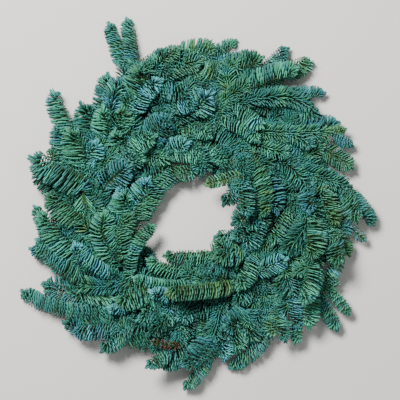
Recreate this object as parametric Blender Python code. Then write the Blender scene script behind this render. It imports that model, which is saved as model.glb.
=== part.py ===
"""Fresh evergreen wreath: fir sprigs bound in bunches on a double-rail wire ring.

The wreath lies on its back, +Z up. Plan positions are given around the ring's centre as clock
degrees (0 is +Y, clockwise) and millimetres of radius. Every sprig is a bare stem bound to the ring,
which forks into shoots; a shoot is one closed round body, as wide as the twig with its inner needles.
The bunches are laid counter-clockwise, each over the stems of the one before, so the heights are
worked out in that order: a sprig rests on what already lies under it.
"""

import math

import bmesh
import bpy
import numpy as np

MM = 0.001

# wire ring
RING_RADIUS = 140.0
RAIL_OFFSET = 12.0
RAIL_WIRE = 1.6
RAIL_SEGMENTS = 42
ZIGZAG_WIRE = 1.0
ZIGZAG_POINTS = 56
GAP = 0.3

# reel wire that binds the stems
BINDING_WIRE = 0.4
BINDING_FLOOR = 0.9
WRAP_CLOCKS = (-17.0, -8.0)
WRAP_SIDE_CLEARANCE = 0.7
WRAP_STEM_CLEARANCE = 1.0
WRAP_CORNER_INSET = 1.4
WRAP_LEAD_CLOCK = 0.3

# bunches and their stems
BUNCH_COUNT = 14
BUNCH_STEP = 360.0 / BUNCH_COUNT
BUNCHES_BELOW = 6
STEM_CLOCK_SPAN = 21.3
STEM_RADIUS = 2.2
STEM_SLOTS = (9.0, 3.0, -3.0, -9.0)
STALK_RADIUS = 1.9

# shoots
SHOOT_RADIUS = 7.6
SHOOT_TIP_RADIUS = 3.6
SHOOT_SWELL = 9.0
SHOOT_STEP = 32.0
STALK_STEP = 22.0
TUBE_SIDES = 5

# lay-up
LAY_GAP = 0.65
SAMPLE_STEP = 2.0
LAY_ROUNDS = 4
LIFT_REACH = 140.0
ARCH_RISE = 0.36
ARCH_DROOP = 0.0019

# heights that follow from the wires
RAIL_APOTHEM = RAIL_WIRE * math.cos(math.radians(30.0))
RAIL_Z = BINDING_FLOOR + 2.0 * BINDING_WIRE + GAP + RAIL_APOTHEM
STEM_Z = RAIL_Z + RAIL_APOTHEM + GAP + STEM_RADIUS
WRAP_TOP_Z = STEM_Z + STEM_RADIUS + GAP + BINDING_WIRE

# Per bunch, four sprigs from the outer slot to the inner one. Per sprig, its shoots, the leader first:
# base clock, base radius, tip clock, tip radius, bow outwards, lift of the tip.
BUNCHES = (
    (
        ((33, 238, 41, 281, 0, 0), (27, 232, 31, 282, 0, 0)),
        ((24, 208, 38, 262, 4, 0),),
        ((30, 195, 50, 236, 6, 0), (20, 162, 41, 160, 3, 4)),
        ((19, 137, 45, 141, 3, 4), (12, 124, 42, 96, 4, 0), (12, 96, 37, 79, 3, 4)),
    ),
    (
        ((53, 202, 60, 257, 3, 0), (42, 236, 49, 262, 2, 0)),
        ((60, 232, 64, 261, 0, 0), (63, 238, 69, 262, 0, 0), (50, 184, 61, 205, 2, 0)),
        ((46, 137, 60, 166, 2, 4), (48, 111, 98, 104, 5, 0)),
        ((66, 86, 100, 82, 4, 0), (58, 88, 32, 43, 0, 0), (68, 72, 81, 52, 0, 0)),
    ),
    (
        ((74, 206, 85, 243, 2, 0), (65, 214, 75, 252, 2, 0)),
        ((83, 236, 96, 281, 3, 0), (82, 206, 97, 222, 2, 0)),
        ((66, 160, 83, 183, 3, 8), (76, 168, 93, 174, 2, 0)),
        ((61, 119, 94, 128, 4, 4), (86, 90, 113, 69, 2, 0)),
    ),
    (
        ((103, 230, 120, 236, 7, 0), (101, 236, 107, 251, 0, 0), (97, 238, 101, 268, 0, 0)),
        ((96, 188, 113, 197, 4, 0), (105, 212, 117, 226, 2, 0)),
        ((97, 178, 116, 152, 4, 2), (93, 150, 115, 134, 2, 0)),
        ((97, 104, 130, 104, 4, 0), (108, 86, 128, 76, 2, 0)),
    ),
    (
        ((123, 238, 126, 287, 0, 0), (127, 236, 131, 289, 0, 0), (125, 212, 138, 252, 2, 0)),
        ((116, 209, 130, 223, 2, 6), (109, 190, 121, 206, 2, 4)),
        ((131, 203, 139, 246, 2, 0), (138, 238, 143, 261, 0, 0), (116, 186, 127, 172, 0, 4)),
        (
            (133, 110, 158, 85, 2, 2),
            (130, 118, 149, 149, 3, 3),
            (120, 84, 136, 52, 0, 0),
            (136, 138, 119, 161, 0, 6),
        ),
    ),
    (
        ((149, 227, 168, 252, 5, 0), (139, 196, 150, 228, 2, 0)),
        ((150, 178, 166, 191, 2, 8), (156, 204, 164, 232, 1, 0)),
        ((153, 139, 198, 134, 5, 3), (143, 158, 157, 160, 2, 0)),
        ((160, 81, 210, 86, -3, 0), (150, 104, 167, 98, 1, 0)),
    ),
    (
        ((174, 230, 183, 278, 3, 0), (166, 206, 171, 236, 0, 6)),
        ((172, 200, 184, 241, 3, 0), (180, 230, 192, 248, 1, 0)),
        ((186, 168, 184, 206, 2, 2), (182, 160, 189, 171, 0, 18), (167, 160, 181, 158, 2, 0)),
        ((188, 103, 222, 103, 3, 2), (176, 120, 220, 141, -6, 0), (190, 138, 206, 141, 0, 10)),
    ),
    (
        ((190, 226, 199, 248, 1, 0), (189, 207, 204, 231, 2, 0)),
        ((206, 206, 213, 260, 2, 0), (211, 216, 224, 267, 2, 0), (196, 204, 214, 221, 3, 0)),
        ((192, 172, 199, 203, 1, 4), (199, 179, 206, 192, 0, 6)),
        ((206, 142, 218, 190, 2, 4), (200, 156, 209, 171, 0, 14)),
    ),
    (
        ((219, 206, 243, 291, 6, 0), (216, 214, 228, 266, 3, 0)),
        ((221, 172, 241, 254, 6, 2), (214, 186, 220, 201, 0, 6)),
        ((236, 206, 258, 245, 4, 0), (230, 160, 254, 189, 4, 6)),
        ((222, 146, 246, 67, 8, 3), (231, 128, 263, 93, 6, 0)),
    ),
    (
        ((258, 224, 270, 243, 2, 0), (248, 234, 254, 257, 0, 0)),
        ((244, 190, 266, 236, 5, 2), (250, 180, 262, 194, 2, 0)),
        ((261, 174, 275, 226, 4, 3),),
        ((239, 141, 266, 133, 8, 5), (250, 94, 281, 63, 5, 0)),
    ),
    (
        ((274, 190, 283, 253, 3, 0), (279, 212, 290, 227, 1, 0)),
        ((280, 164, 288, 256, 6, 6), (271, 158, 277, 166, 0, 16)),
        ((282, 141, 303, 114, 2, 6), (277, 110, 283, 117, 0, 20)),
        ((273, 96, 303, 78, 3, 4), (263, 118, 283, 103, 3, 2), (283, 79, 368, 62, 0, 0)),
    ),
    (
        ((303, 220, 311, 274, 2, 0), (292, 210, 302, 239, 2, 0)),
        ((314, 200, 327, 243, 3, 0), (289, 185, 302, 223, 3, 2), (302, 190, 313, 225, 2, 0)),
        ((306, 176, 318, 204, 2, 4), (293, 164, 305, 177, 1, 5), (306, 150, 315, 166, 0, 12)),
        ((312, 124, 332, 122, 2, 2), (302, 133, 316, 129, 0, 0), (310, 108, 317, 114, 0, 16)),
    ),
    (
        ((333, 236, 336, 309, 0, 0), (336, 234, 341, 302, 0, 0)),
        ((330, 196, 341, 234, 3, 3), (317, 188, 331, 222, 3, 0), (342, 226, 349, 248, 0, 0)),
        ((327, 165, 346, 198, 4, 7), (318, 146, 325, 186, 0, 4), (316, 142, 331, 129, 0, 4)),
        (
            (333, 84, 372, 74, 4, 2),
            (335, 98, 357, 97, 2, 3),
            (331, 112, 346, 134, 2, 0),
            (328, 138, 346, 141, 2, 2),
            (363, 78, 373, 55, 0, 0),
        ),
    ),
    (
        ((353, 238, 368, 246, 4, 0), (363, 226, 374, 261, 1, 0), (368, 223, 381, 251, 2, 0)),
        ((345, 203, 362, 221, 5, 3), (341, 212, 355, 240, 2, 0), (362, 206, 380, 218, 4, 2)),
        ((366, 198, 385, 201, 4, 2), (341, 184, 358, 172, 2, 0), (365, 152, 372, 163, 0, 18)),
        (
            (342, 104, 368, 121, 8, 3),
            (345, 148, 362, 157, 2, 2),
            (363, 118, 375, 109, 0, 9),
            (352, 98, 368, 92, 1, 0),
        ),
    ),
)

SPRIG_GREENS = ((0.05, 0.19, 0.17), (0.07, 0.22, 0.15), (0.04, 0.15, 0.16), (0.10, 0.26, 0.20))


def clear_scene():
    for thing in list(bpy.data.objects):
        bpy.data.objects.remove(thing, do_unlink=True)


def material(name, colour, roughness, metallic):
    made = bpy.data.materials.new(name)
    made.use_nodes = True
    shader = made.node_tree.nodes["Principled BSDF"]
    shader.inputs["Base Color"].default_value = (*colour, 1.0)
    shader.inputs["Roughness"].default_value = roughness
    shader.inputs["Metallic"].default_value = metallic
    return made


def add_object(name, mesh):
    thing = bpy.data.objects.new(name, mesh)
    bpy.context.scene.collection.objects.link(thing)
    return thing


def polar(clock, radius):
    """Plan position in millimetres of a clock angle in degrees and a radius."""
    turn = math.radians(clock)
    return np.array((radius * math.sin(turn), radius * math.cos(turn)))


def clockwise(clock):
    """Unit vector along the ring, clockwise."""
    turn = math.radians(clock)
    return np.array((math.cos(turn), -math.sin(turn)))


def direction(vector):
    return vector / max(float(np.linalg.norm(vector)), 1e-9)


# ---- plan of a sprig -------------------------------------------------------------------------


def shoot_path(shoot):
    """Evenly spread stations of a shoot in plan, from its base to its tip, with their radii."""
    base_clock, base_radius, tip_clock, tip_radius, bow, _ = shoot

    def at(share):
        radius = base_radius + (tip_radius - base_radius) * share + bow * math.sin(math.pi * share)
        return polar(base_clock + (tip_clock - base_clock) * share, radius)

    fine = np.array([at(i / 40.0) for i in range(41)])
    steps = np.linalg.norm(np.diff(fine, axis=0), axis=1)
    length = float(steps.sum())
    swell = min(SHOOT_SWELL, 0.3 * length)
    body = length - swell - 4.0
    count = max(1, round(body / SHOOT_STEP))
    stops = [0.0, swell] + [swell + body * (i + 1) / count for i in range(count)] + [length]
    along = np.concatenate(([0.0], np.cumsum(steps)))
    points = [
        np.array((np.interp(stop, along, fine[:, 0]), np.interp(stop, along, fine[:, 1])))
        for stop in stops
    ]
    radii = [STALK_RADIUS] + [SHOOT_RADIUS] * (len(stops) - 2) + [SHOOT_TIP_RADIUS]
    return points, radii, stops


def stalk_path(start, start_way, end, end_way):
    """Stations of a bare twig between two places, leaving and arriving along the given ways."""
    span = float(np.linalg.norm(end - start))
    hold = 0.9 * span
    count = max(1, round(span / STALK_STEP))
    points = []
    for i in range(1, count):
        t = i / count
        points.append(
            (2 * t**3 - 3 * t**2 + 1) * start
            + (t**3 - 2 * t**2 + t) * hold * start_way
            + (3 * t**2 - 2 * t**3) * end
            + (t**3 - t**2) * hold * end_way
        )
    return points


def travelled(points, first=0.0):
    steps = np.linalg.norm(np.diff(np.array(points), axis=0), axis=1)
    return first + np.concatenate(([0.0], np.cumsum(steps)))


def natural_height(along, lift_share, lift):
    arch = STEM_Z + ARCH_RISE * along - ARCH_DROOP * along**2
    return max(arch, STALK_RADIUS) + lift * lift_share**2


def leader_tube(exit_clock, slot, shoot):
    """The stem on the ring, its free twig and its own shoot, as one tube."""
    radius = RING_RADIUS + slot
    stem = [polar(exit_clock - STEM_CLOCK_SPAN * (1 - i / 3), radius) for i in range(4)]
    near_exit = stem[-1] + 5.0 * clockwise(exit_clock)
    points, radii, stops = shoot_path(shoot)
    way = direction(points[1] - points[0])
    stalk = stalk_path(near_exit, clockwise(exit_clock), points[0], way)
    free = [stem[-1], near_exit] + stalk + points
    along = travelled(free)
    first = len(free) - len(points)
    shares = [0.0] * first + [stop / stops[-1] for stop in stops]
    back = -travelled(stem[::-1])[::-1]
    heights = [STEM_Z] * 3 + [
        natural_height(a, share, shoot[5]) for a, share in zip(along, shares)
    ]
    return {
        "plan": np.array(stem[:-1] + free),
        "radius": np.array([STEM_RADIUS] * 4 + [STALK_RADIUS] * (first - 1) + radii),
        "along": np.concatenate((back[:-1], along)),
        "height": np.array(heights),
        "fork": math.inf,
    }


def side_tube(leader, shoot):
    """A side shoot, on a twig that forks forwards from the leader."""
    points, radii, stops = shoot_path(shoot)
    base = points[0]
    best = None
    for i in range(len(leader["plan"]) - 1):
        if leader["along"][i] < 4.0 or leader["along"][i + 1] > leader["along"][-1] - 2.0:
            continue
        start, end = leader["plan"][i], leader["plan"][i + 1]
        for share in (0.0, 0.25, 0.5, 0.75):
            place = start + (end - start) * share
            gap = base - place
            turn = 1.0 - float(np.dot(direction(gap), direction(end - start)))
            cost = float(np.linalg.norm(gap)) * (1.0 + 1.6 * turn) + 6.0 * turn
            if best is None or cost < best[0]:
                along = leader["along"][i] + (leader["along"][i + 1] - leader["along"][i]) * share
                best = (cost, place, direction(end - start), along)
    _, place, way, fork = best
    gap = base - place
    leave = direction(direction(gap) + 0.6 * way)
    stalk = stalk_path(place, leave, base, direction(points[1] - points[0]))
    plan = [place] + stalk + points
    if float(np.linalg.norm(gap)) < 5.0:
        plan = [place] + points[1:]
        radii = [STALK_RADIUS] + radii[1:]
        stops = stops[1:]
    along = travelled(plan, fork)
    first = len(plan) - len(stops)
    shares = [0.0] * first + [stop / stops[-1] for stop in stops]
    heights = [natural_height(a, share, shoot[5]) for a, share in zip(along, shares)]
    return {
        "plan": np.array(plan),
        "radius": np.array([STALK_RADIUS] * (len(plan) - len(radii)) + radii),
        "along": along,
        "height": np.array(heights),
        "fork": fork,
    }


# ---- lay-up ----------------------------------------------------------------------------------


def samples(tube):
    """Points along a tube: plan, radius, height, distance along the sprig, and the fork."""
    rows = []
    for i in range(len(tube["plan"]) - 1):
        length = float(np.linalg.norm(tube["plan"][i + 1] - tube["plan"][i]))
        count = max(1, math.ceil(length / SAMPLE_STEP))
        last = 1 if i == len(tube["plan"]) - 2 else 0
        for j in range(count + last):
            t = j / count
            x, y = tube["plan"][i] * (1 - t) + tube["plan"][i + 1] * t
            radius = tube["radius"][i] * (1 - t) + tube["radius"][i + 1] * t
            height = tube["height"][i] * (1 - t) + tube["height"][i + 1] * t
            along = tube["along"][i] * (1 - t) + tube["along"][i + 1] * t
            rows.append((x, y, radius, height, along, tube["fork"]))
    return np.array(rows)


def sprig_samples(sprig):
    return np.concatenate([samples(tube) for tube in sprig])


def floor_under(points, below):
    """The least height each point needs to clear what lies below it and the table."""
    need = points[:, 2].copy()
    if len(below):
        flat = np.linalg.norm(points[:, None, :2] - below[None, :, :2], axis=2)
        reach = points[:, 2][:, None] + below[None, :, 2] + LAY_GAP
        touching = flat < reach
        rise = np.sqrt(np.maximum(reach**2 - flat**2, 0.0)) + below[None, :, 3]
        need = np.maximum(need, np.where(touching, rise, -1e9).max(axis=1))
    return need


def settle(sprig, below):
    """Raise a sprig's free stations until it rests on what is below; the stem stays bound."""
    for _ in range(40):
        points = sprig_samples(sprig)
        lack = floor_under(points, below) - points[:, 3]
        lack[points[:, 4] <= 3.0] = 0.0
        high = lack > 0.01
        if not high.any():
            return
        contacts = points[high]
        lack = lack[high]
        for tube in sprig:
            along = tube["along"][:, None]
            same = contacts[:, 5][None, :] == tube["fork"]
            common = np.minimum(along, contacts[:, 4][None, :])
            forks = np.minimum(np.minimum(tube["fork"], contacts[:, 5])[None, :], common)
            common = np.where(same, common, forks)
            share = np.clip(common / contacts[:, 4][None, :], 0.0, 1.0)
            rise = share**2 * (3.0 - 2.0 * share)
            fade = np.clip((along - common) / LIFT_REACH, 0.0, 1.0)
            weight = rise * 0.5 * (1.0 + np.cos(math.pi * fade))
            tube["height"] += (weight * lack[None, :]).max(axis=1) * (tube["along"] > 0.0)


def wire_samples():
    """The tops of the wraps, which the free twigs pass over."""
    rows = []
    for bunch in range(BUNCH_COUNT):
        for wrap in WRAP_CLOCKS:
            for offset in np.arange(-14.0, 14.1, 1.0):
                x, y = polar(bunch * BUNCH_STEP + wrap, RING_RADIUS + offset)
                rows.append((x, y, BINDING_WIRE, WRAP_TOP_Z, 0.0, 0.0))
        for clock in np.arange(-STEM_CLOCK_SPAN, 0.1, 0.8):
            for rail in (-RAIL_OFFSET, RAIL_OFFSET):
                x, y = polar(bunch * BUNCH_STEP + clock, RING_RADIUS + rail)
                rows.append((x, y, RAIL_WIRE, RAIL_Z, 0.0, 0.0))
    return np.array(rows)


def plan_sprigs():
    sprigs = {}
    for bunch, bundle in enumerate(BUNCHES):
        exit_clock = bunch * BUNCH_STEP
        for number, shoots in enumerate(bundle):
            leader = leader_tube(exit_clock, STEM_SLOTS[number], shoots[0])
            sides = [side_tube(leader, shoot) for shoot in shoots[1:]]
            sprigs[bunch, number] = [leader] + sides
    return sprigs


def lay_up(sprigs):
    """Lay the bunches counter-clockwise round the ring, several times, until the seam agrees."""
    wires = wire_samples()
    natural = {key: [tube["height"].copy() for tube in sprig] for key, sprig in sprigs.items()}
    laid = {}
    for _ in range(LAY_ROUNDS):
        for bunch in reversed(range(BUNCH_COUNT)):
            under = [(bunch + i) % BUNCH_COUNT for i in range(1, BUNCHES_BELOW + 1)]
            for number in range(len(BUNCHES[bunch])):
                key = bunch, number
                lower = [laid[b, n] for b, n in laid if b in under or (b == bunch and n < number)]
                for tube, height in zip(sprigs[key], natural[key]):
                    tube["height"][:] = height
                settle(sprigs[key], np.concatenate(lower + [wires]))
                laid[key] = sprig_samples(sprigs[key])


# ---- solids ----------------------------------------------------------------------------------


def section_curve():
    """The round section that every sprig tube is swept with."""
    curve = bpy.data.curves.new("tube_section", "CURVE")
    curve.dimensions = "2D"
    spline = curve.splines.new("POLY")
    spline.points.add(TUBE_SIDES - 1)
    for i, point in enumerate(spline.points):
        turn = 2.0 * math.pi * i / TUBE_SIDES
        point.co = (math.cos(turn), math.sin(turn), 0.0, 1.0)
    spline.use_cyclic_u = True
    return add_object("tube_section", curve)


def swept_mesh(name, points, radii, section=None, closed=False):
    """A tube through points in millimetres, as a mesh in metres."""
    curve = bpy.data.curves.new(name, "CURVE")
    curve.dimensions = "3D"
    curve.twist_mode = "Z_UP"
    spline = curve.splines.new("POLY")
    spline.points.add(len(points) - 1)
    for station, place, radius in zip(spline.points, points, radii):
        station.co = (*(float(value) * MM for value in place), 1.0)
        station.radius = float(radius) * MM
    spline.use_cyclic_u = closed
    curve.use_fill_caps = True
    if section is None:
        curve.bevel_resolution = 0
        curve.bevel_depth = 1.0
    else:
        curve.bevel_mode = "OBJECT"
        curve.bevel_object = section
    thing = add_object(name, curve)
    bpy.context.view_layer.update()
    mesh = bpy.data.meshes.new_from_object(thing.evaluated_get(bpy.context.evaluated_depsgraph_get()))
    bpy.data.objects.remove(thing, do_unlink=True)
    shape = bmesh.new()
    shape.from_mesh(mesh)
    bmesh.ops.remove_doubles(shape, verts=shape.verts, dist=0.00001)
    bmesh.ops.recalc_face_normals(shape, faces=shape.faces)
    shape.to_mesh(mesh)
    shape.free()
    return mesh


def united(name, meshes):
    """One closed body from overlapping tubes."""
    whole = add_object(name, meshes[0])
    others = [add_object(f"{name}_side", mesh) for mesh in meshes[1:]]
    for other in others:
        union = whole.modifiers.new("union", "BOOLEAN")
        union.operation = "UNION"
        union.solver = "EXACT"
        union.object = other
    bpy.context.view_layer.update()
    result = bpy.data.meshes.new_from_object(whole.evaluated_get(bpy.context.evaluated_depsgraph_get()))
    whole.modifiers.clear()
    whole.data = result
    for other in others:
        bpy.data.objects.remove(other, do_unlink=True)
    return whole


def build_sprigs(sprigs):
    section = section_curve()
    for (bunch, number), tubes in sprigs.items():
        name = f"bunch_{bunch + 1:02d}_sprig_{number + 1}"
        meshes = [
            swept_mesh(name, np.column_stack((tube["plan"], tube["height"])), tube["radius"], section)
            for tube in tubes
        ]
        sprig = united(name, meshes)
        green = SPRIG_GREENS[(bunch + number) % len(SPRIG_GREENS)]
        sprig.data.materials.clear()
        sprig.data.materials.append(material(name, green, 0.6, 0.0))
        sprig.data.shade_smooth()
    bpy.data.objects.remove(section, do_unlink=True)


def build_rail(name, radius):
    """One round wire of the ring, six-sided with a flat underneath."""
    shape = bmesh.new()
    corners = []
    for i in range(6):
        turn = math.radians(60.0 * i)
        across = radius + RAIL_WIRE * math.cos(turn)
        corners.append(shape.verts.new((across * MM, 0.0, (RAIL_Z + RAIL_WIRE * math.sin(turn)) * MM)))
    edges = [shape.edges.new((corners[i], corners[(i + 1) % 6])) for i in range(6)]
    bmesh.ops.spin(
        shape,
        geom=corners + edges,
        cent=(0.0, 0.0, 0.0),
        axis=(0.0, 0.0, 1.0),
        angle=2.0 * math.pi,
        steps=RAIL_SEGMENTS,
        use_merge=True,
    )
    bmesh.ops.recalc_face_normals(shape, faces=shape.faces)
    mesh = bpy.data.meshes.new(name)
    shape.to_mesh(mesh)
    shape.free()
    mesh.materials.append(material(name, (0.05, 0.16, 0.09), 0.4, 0.6))
    mesh.shade_smooth()
    return add_object(name, mesh)


def build_zigzag():
    """The crimped wire between the two rails, a hair clear of both."""
    swing = RAIL_OFFSET - RAIL_WIRE - GAP - ZIGZAG_WIRE
    points = []
    for i in range(ZIGZAG_POINTS):
        side = swing if i % 2 else -swing
        x, y = polar(360.0 * i / ZIGZAG_POINTS, RING_RADIUS + side)
        points.append((x, y, RAIL_Z))
    name = "ring_zigzag_wire"
    mesh = swept_mesh(name, points, [ZIGZAG_WIRE] * len(points), closed=True)
    mesh.materials.clear()
    mesh.materials.append(material(name, (0.05, 0.16, 0.09), 0.4, 0.6))
    add_object(name, mesh)


def build_binding_wire():
    """The reel wire: round the rails and the stems twice a bunch, then on to the next wrap."""
    low = BINDING_FLOOR + BINDING_WIRE
    side = RAIL_OFFSET + RAIL_WIRE + GAP + WRAP_SIDE_CLEARANCE
    stems = STEM_SLOTS[0] + STEM_RADIUS + WRAP_STEM_CLEARANCE
    inset = side - WRAP_CORNER_INSET
    wraps = [bunch * BUNCH_STEP + wrap for bunch in range(BUNCH_COUNT) for wrap in WRAP_CLOCKS]
    points = []
    for i, clock in enumerate(wraps):
        following = wraps[(i + 1) % len(wraps)] + (360.0 if i + 1 == len(wraps) else 0.0)
        for at, offset, height in (
            (clock, -side, RAIL_Z),
            (clock, -stems, WRAP_TOP_Z),
            (clock, stems, WRAP_TOP_Z),
            (clock, side, RAIL_Z),
            (clock + WRAP_LEAD_CLOCK, inset, low),
            (following - WRAP_LEAD_CLOCK, -inset, low),
        ):
            x, y = polar(at, RING_RADIUS + offset)
            points.append((x, y, height))
    name = "binding_wire"
    mesh = swept_mesh(name, points, [BINDING_WIRE] * len(points), closed=True)
    mesh.materials.clear()
    mesh.materials.append(material(name, (0.10, 0.12, 0.08), 0.4, 0.7))
    add_object(name, mesh)


def centre_on_origin():
    """Put the bottom centre of the whole wreath's box at the origin, in the meshes themselves."""
    things = [thing for thing in bpy.data.objects if thing.type == "MESH"]
    corners = np.array([vertex.co[:] for thing in things for vertex in thing.data.vertices])
    low, high = corners.min(axis=0), corners.max(axis=0)
    middle = ((low[0] + high[0]) / 2.0, (low[1] + high[1]) / 2.0, low[2])
    for thing in things:
        for vertex in thing.data.vertices:
            vertex.co.x -= middle[0]
            vertex.co.y -= middle[1]
            vertex.co.z -= middle[2]


def main():
    clear_scene()
    sprigs = plan_sprigs()
    lay_up(sprigs)
    build_sprigs(sprigs)
    build_rail("ring_outer_wire", RING_RADIUS + RAIL_OFFSET)
    build_rail("ring_inner_wire", RING_RADIUS - RAIL_OFFSET)
    build_zigzag()
    build_binding_wire()
    centre_on_origin()


main()
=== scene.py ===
"""Fresh evergreen wreath: fir sprigs bound clockwise on a wire ring, lying on its back.

Each sprig is one piece: its twigs, its buds and every needle. A sprig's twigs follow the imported
solids: their plan is worked out as the solids' was, and their heights are found on the solids.
"""

import math
from collections import namedtuple

import bmesh
import bpy
import numpy as np
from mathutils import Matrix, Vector
from mathutils.bvhtree import BVHTree


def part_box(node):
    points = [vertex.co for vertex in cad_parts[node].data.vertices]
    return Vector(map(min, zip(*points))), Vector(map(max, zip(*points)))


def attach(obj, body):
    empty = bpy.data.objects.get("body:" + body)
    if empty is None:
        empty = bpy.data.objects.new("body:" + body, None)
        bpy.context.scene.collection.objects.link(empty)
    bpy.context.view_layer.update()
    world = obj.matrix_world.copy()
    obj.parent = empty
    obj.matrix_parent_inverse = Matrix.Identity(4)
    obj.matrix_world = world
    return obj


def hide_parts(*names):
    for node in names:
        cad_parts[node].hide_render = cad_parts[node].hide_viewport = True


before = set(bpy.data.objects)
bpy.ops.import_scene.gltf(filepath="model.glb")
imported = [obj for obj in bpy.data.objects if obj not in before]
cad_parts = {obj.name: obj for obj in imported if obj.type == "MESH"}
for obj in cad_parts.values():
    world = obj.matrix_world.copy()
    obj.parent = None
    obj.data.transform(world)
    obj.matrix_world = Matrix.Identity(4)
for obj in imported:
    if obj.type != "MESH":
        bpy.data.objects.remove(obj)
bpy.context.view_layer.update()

MM = 0.001  # every length below is in millimetres, and every angle in degrees

# the plan of the ring, the stems and the twigs, as the solids have them
BUNCH_STEP = 360.0 / 14
RING_RADIUS = 140.0
STEM_SLOTS = (9.0, 3.0, -3.0, -9.0)
STEM_CLOCK_SPAN = 21.3
STEM_RUN_ON = 5.0  # how far a stem runs straight on where it leaves the ring
STALK_STEP = 22.0
STALK_HOLD = 0.9  # how firmly a bare twig keeps its way at its ends
SHOOT_STEP = 32.0
SHOOT_SWELL = 9.0
SWELL_LIMIT = 0.3  # the most the swell takes of a shoot's length
SHOOT_END = 4.0  # the last stretch, past the shoot's body
CURVE_STEPS = 40
FORK_CLEAR_OF_EXIT = 4.0
FORK_CLEAR_OF_TIP = 2.0
FORK_SHARES = (0.0, 0.25, 0.5, 0.75)  # the places tried for a fork on each stretch of the leader
TURN_WEIGHT = 1.6  # how much a sharp turn counts against a fork's place, next to its distance,
TURN_COST = 6.0  # and by itself
FORK_FORWARDS = 0.6  # how much of the leader's way a side twig keeps as it leaves
SHORTEST_STALK = 5.0

# finding the twigs' heights on the solids
RAY_START = -0.01  # metres
RAY_STEP = 1e-5  # metres
THINNEST_LAYER = 0.2
LARGEST_HALF = 10.5  # a layer thicker than twice this is two shoots that meet
LARGEST_JUMP = 6.0
SLOPE_STATIONS = 4  # past the solid's end a twig keeps the slope that it has over so many

# twigs and buds
LINE_STEP = 2.5
STEM_RADIUS = 2.1
TWIG_RADIUS = 1.5
TWIG_TIP_RADIUS = 0.9
TWIG_SIDES = 6
TWIG_JOINT_STEP = 7.0
BARE_STEM = 14.0  # how far a stem is stripped past the binding
BARE_FORK = 3.0
SHORTEST_BARE = 12.0  # a longer bare twig has needles of its own
BARE_WIDTH = 28.0
BARE_ROLL = 40.0
BUD_SIZE = 3.4
BUD_THICKNESS = 0.62
BUD_DEPTH = 0.5  # how far a bud sits in its twig
BUD_RISE = 0.1
BUDS = ((0.0, 1.0), (0.75, 0.72), (-0.75, 0.72))  # each bud's lean to the side and share of the size

# where a shoot's twig lies: off its solid's middle, because most needles stand to one side of it
MOVE_LEAD = 14.0  # it starts to leave the middle this far before its base,
MOVE_REACH = 22.0  # and is all the way out after this
BODY_SINK = 0.8  # how much of the needles' height over the twig it is lowered by
TIP_RETURN = 0.9  # how far it comes back to the middle at its tip,
TIP_RETURN_WIDTHS = 1.1  # over this many widths of the shoot
LOWEST_TWIG = 2.2
CEILING = 76.0  # the top of the highest shoots
SHOOT_HEIGHT = 0.42  # from a twig to the top of its needles, as a share of the shoot's width

# needles
NEEDLE_WIDTH = 2.0
WIDTH_SPREAD = (0.90, 1.12)
NEEDLE_LENGTHS = (13.0, 34.0)
MEASURED_AT = (0.3, 0.5, 0.75, 1.0)  # shares of a needle's length where a shoot's width is measured
FLOOR_GAP = 0.4
FACE_UP = (0.08, 0.05, 1.0)  # not quite upright, so that an upright needle has a face too
BLADE_THICKNESS = 0.6
CROWN_FORWARDS = 1.2  # how far the needles on the crown lie forwards
BACK_DROP = 0.6  # how much of a needle's start behind its twig is kept where that is downwards
BASE_AHEAD = 0.7  # where a needle starts, from the middle of its twig: along its own way,
BASE_ABOVE = 0.8  # and up

# how a shoot's needles vary along it
LEAN_SPREAD = 10.0  # between shoots
RIB_SCATTER = 0.3
ROLL_SCATTER = 3.0
ANGLE_SCATTER = 2.5
PLACE_SCATTER = 0.10
WAY_SCATTER = 0.02
RIB_SHARES = (0.96, 1.04)
BASE_SHARE = 0.74  # how long the needles are at the shoot's base, as a share of the others' length
RISE_LENGTH = 45.0  # the length in which that share would rise by 1
LOWER_NEEDLES = -0.12  # those that point down further than this stand between the ribs
OWN_TONE_SHARE = 0.72

# how a shoot ends
TIP_REACH = 0.36  # how far the needles reach past a twig's tip, as a share of their length
TIP_TAPER = 0.10
TIP_ROUNDING = 0.45  # the radius of the round end, as a share of the width
ROUNDNESS = 2.5
SHORTEST_SHARE = 0.3  # a needle is trimmed to no less
TRIM_STEPS = 15
UNTRIMMED = 0.1  # a needle isn't trimmed while it is this near the twig, as a share of the width
TIP_SWING = 6.0  # the last ribs lean forwards by this,
TIP_SWING_REACH = 14.0  # over this length
TIP_SETBACK = 1.2  # of the first ring of needles, from the twig's end
RING_STEP = 0.5
RING_INWARD = 0.30  # how far the needles of the tip's rings curve in
RING_SHARES = (0.92, 1.04)
RING_SCATTER = 0.6
AROUND_SCATTER = 7.0
SPREAD_SCATTER = 4.0
LEAST_FLAT = 0.6  # the tip is at least this thick
SHORTEST_TWIG = 4.0

# short side shoots that fill the wreath's body under the leaders
BODY_RADII = (88.0, 227.0)  # the body, which side shoots fill and don't stand out of
SIDE_START = 4.0
SIDE_END = 0.25  # they stop at this share of their twig's own shoot
SIDE_STEP = 12.0
SIDE_SCATTER = 3.0
SIDE_STATIONS = 9
SIDE_LENGTHS = (26.0, 42.0)
SIDE_WIDTHS = (23.0, 29.0)
SIDE_TURNS = (26.0, 44.0)
SIDE_DROPS = (-0.34, -0.16)
SIDE_ROLLS = (20.0, 60.0)
SIDE_CURVE = 0.18
SIDE_SINK = 6.0
SIDE_LOWEST = 6.0
SIDE_BARE = 5.0
SIDE_RADII = (1.2, 0.8)  # of the twig, at its start and at its end
# mostly dark tones: painted shade on the side shoots that lie under the leaders
SIDE_SHADE_TONES = ("deep", "deep", "shade", "deep", "green")

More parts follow.
